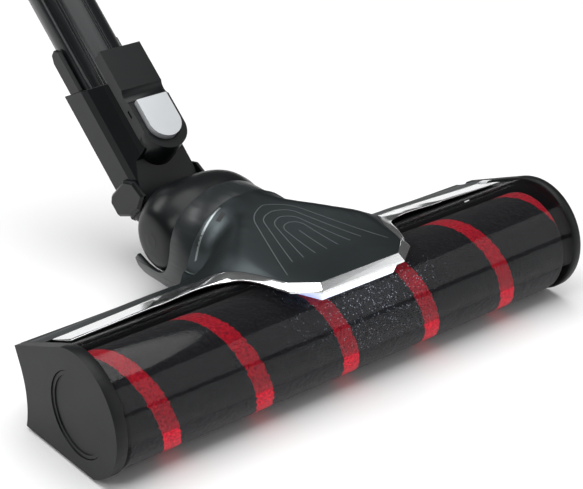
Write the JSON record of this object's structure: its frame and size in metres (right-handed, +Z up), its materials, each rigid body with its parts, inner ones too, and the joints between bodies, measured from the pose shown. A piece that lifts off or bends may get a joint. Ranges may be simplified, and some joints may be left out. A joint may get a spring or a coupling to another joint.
{
  "type": "motorised roller floor head",
  "caption": "Motorised soft-roller floor head of a stick vacuum: smoked window over the striped roller, lamp, swivelling and tilting neck, push-button coupling and ribbed tube.",
  "frame": {"origin": "bottom centre of the whole part's bounding box, on the floor", "axes": "+X to the head's right seen from behind, along the roller; +Y from the roller to the rear, towards the tube; +Z up"},
  "size_m": [0.26, 0.2694, 0.1471],
  "materials": {
    "pile": "soft short pile with woven coloured stripes",
    "core": "moulded core",
    "black": "satin black plastic",
    "graphite": "satin graphite metallic",
    "trim": "bright silver",
    "window": "smoked clear plastic",
    "lamp": "clear lamp lens",
    "board": "circuit board",
    "steel": "turned steel",
    "screw": "blackened steel",
    "felt": "red-brown felt",
    "wheel": "soft black wheel",
    "tube": "black anodised, satin",
    "button": "silver",
    "spring": "spring steel",
    "brass": "sintered bronze"
  },
  "bodies": {
    "head": {"motor_mount": "black", "roller_motor": "steel", "gear_box": "black", "left_end_cap": "black", "left_cap_disc": "black", "right_end_cap": "black", "roller_window": "window", "chassis": "black", "wheel_axle_left": "steel", "wheel_axle_right": "steel", "wheel_clip_left": "black", "wheel_clip_right": "black", "base_screws": "screw", "felt_lip": "felt", "top_cover": "graphite", "bright_trim": "trim", "trim_end": "trim", "strip_bed": "black", "rear_wall_left": "black", "rear_wall_right": "black", "lamp_lens": "lamp", "lamp_board": "board", "air_duct": "black", "drum_bearing": "black"},
    "roller": {"roller_pile": "pile", "roller_core": "core", "drive_hub": "core", "output_shaft": "steel", "tail_plug": "core", "tail_pin": "steel"},
    "lock": {"lock_disc": "black", "tail_bush": "brass"},
    "wheel_left": {"wheel_left": "wheel"},
    "wheel_right": {"wheel_right": "wheel"},
    "fork": {"swivel_drum": "black", "drum_clip": "black"},
    "neck": {"elbow": "black", "neck_sleeve": "black", "latch_housing": "black", "button_spring": "spring", "neck_ear_left": "black", "neck_ear_right": "black", "guide_tongue_left": "black", "guide_tongue_right": "black"},
    "button": {"release_button": "button"},
    "tube": {"extension_tube": "tube", "tube_end_ring": "black"}
  },
  "joints": [
    {"name": "roller_spin", "type": "hinge", "parent": "head", "child": "roller", "pos_m": [0, -0.10708, 0.02455], "axis": [1, 0, 0], "continuous": true},
    {"name": "lock_turn", "type": "hinge", "parent": "head", "child": "lock", "pos_m": [0.1272, -0.10708, 0.02455], "axis": [1, 0, 0], "range_deg": [0, 30]},
    {"name": "wheel_left_spin", "type": "hinge", "parent": "head", "child": "wheel_left", "pos_m": [-0.07, -0.07108, 0.0065], "axis": [1, 0, 0], "continuous": true},
    {"name": "wheel_right_spin", "type": "hinge", "parent": "head", "child": "wheel_right", "pos_m": [0.07, -0.07108, 0.0065], "axis": [1, 0, 0], "continuous": true},
    {"name": "neck_swivel", "type": "hinge", "parent": "head", "child": "fork", "pos_m": [0, -0.04508, 0.0314], "axis": [0, 1, 0], "range_deg": [-80, 80]},
    {"name": "neck_tilt", "type": "hinge", "parent": "fork", "child": "neck", "pos_m": [0, -0.01408, 0.036], "axis": [1, 0, 0], "range_deg": [-25, 50]},
    {"name": "button_press", "type": "slide", "parent": "neck", "child": "button", "axis": [0, 0.6428, -0.766], "range_m": [0, 0.003], "stiffness_N_per_m": 800, "springref_m": -0.0005},
    {"name": "tube_pull", "type": "slide", "parent": "neck", "child": "tube", "axis": [0, 0.766, 0.6428], "range_m": [0, 0.045]}
  ]
}
